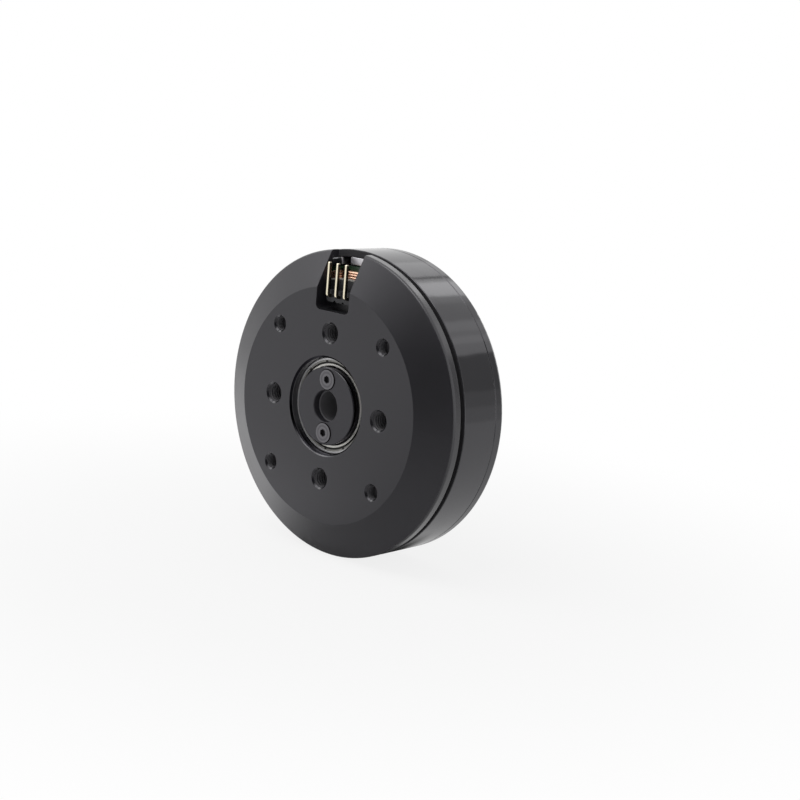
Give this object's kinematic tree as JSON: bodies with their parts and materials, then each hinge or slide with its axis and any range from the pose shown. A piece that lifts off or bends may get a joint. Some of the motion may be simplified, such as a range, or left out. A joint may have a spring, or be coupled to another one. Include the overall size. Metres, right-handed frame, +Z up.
{
  "type": "gimbal motor",
  "caption": "Flat hollow-shaft gimbal motor: a coned stator base with tapped holes and a pin connector slot, and an outer drum that turns on bearings.",
  "frame": {"origin": "centre of the base's flat mounting face, on the motor axis", "axes": "Y along the motor axis from the mounting face to the back of the drum, +Z up through the middle of the connector slot, X across"},
  "size_m": [0.0672, 0.0196, 0.0672],
  "materials": {
    "base_anodised": "black anodised, fine blasted",
    "cap_anodised": "black anodised, turned",
    "shaft_anodised": "black anodised, turned",
    "bell_anodised": "black anodised, turned",
    "drum_steel": "black coated steel, smooth",
    "magnet_nickel": "nickel plated",
    "screw_black": "black oxide",
    "bearing_steel": "ground bearing steel",
    "shield_steel": "pressed sheet steel",
    "ball_steel": "polished",
    "cage_steel": "pressed sheet steel",
    "core_steel": "stacked sheet steel",
    "plate_green": "green glass fibre sheet",
    "copper": "enamelled copper wire",
    "board_black": "black lacquered glass fibre board",
    "header_plastic": "black moulded plastic",
    "pin_gold": "thin gold plating"
  },
  "bodies": {
    "stator": {"stator_base": "base_anodised", "stator_core": "core_steel", "stator_end_plate_front": "plate_green", "stator_end_plate_rear": "plate_green", "phase_u_coils": "copper", "phase_v_coils": "copper", "phase_w_coils": "copper", "winding_leads": "copper", "terminal_board": "board_black", "header_body": "header_plastic", "header_pins": "pin_gold", "front_bearing_outer_ring": "bearing_steel", "front_bearing_front_shield": "shield_steel", "front_bearing_rear_shield": "shield_steel", "rear_bearing_outer_ring": "bearing_steel", "rear_bearing_front_shield": "shield_steel", "rear_bearing_rear_shield": "shield_steel"},
    "rotor": {"rotor_bell": "bell_anodised", "flux_ring": "drum_steel", "magnets": "magnet_nickel", "hollow_shaft": "shaft_anodised", "shaft_cap": "cap_anodised", "cap_screws": "screw_black", "bearing_spacer": "bearing_steel", "front_bearing_inner_ring": "bearing_steel", "rear_bearing_inner_ring": "bearing_steel"},
    "front_ball_set": {"front_bearing_balls": "ball_steel", "front_bearing_cage": "cage_steel"},
    "rear_ball_set": {"rear_bearing_balls": "ball_steel", "rear_bearing_cage": "cage_steel"}
  },
  "joints": [
    {"name": "rotor_spin", "type": "hinge", "parent": "stator", "child": "rotor", "pos_m": [0, 0.012, 0], "axis": [0, 1, 0], "continuous": true},
    {"name": "front_ball_orbit", "type": "hinge", "parent": "stator", "child": "front_ball_set", "pos_m": [0, 0.0038, 0], "axis": [0, 1, 0], "continuous": true},
    {"name": "rear_ball_orbit", "type": "hinge", "parent": "stator", "child": "rear_ball_set", "pos_m": [0, 0.0149, 0], "axis": [0, 1, 0], "continuous": true}
  ],
  "couplings": [
    {"joint": "front_ball_orbit", "follows": "rotor_spin", "ratio": 0.4467},
    {"joint": "rear_ball_orbit", "follows": "rotor_spin", "ratio": 0.4467}
  ]
}
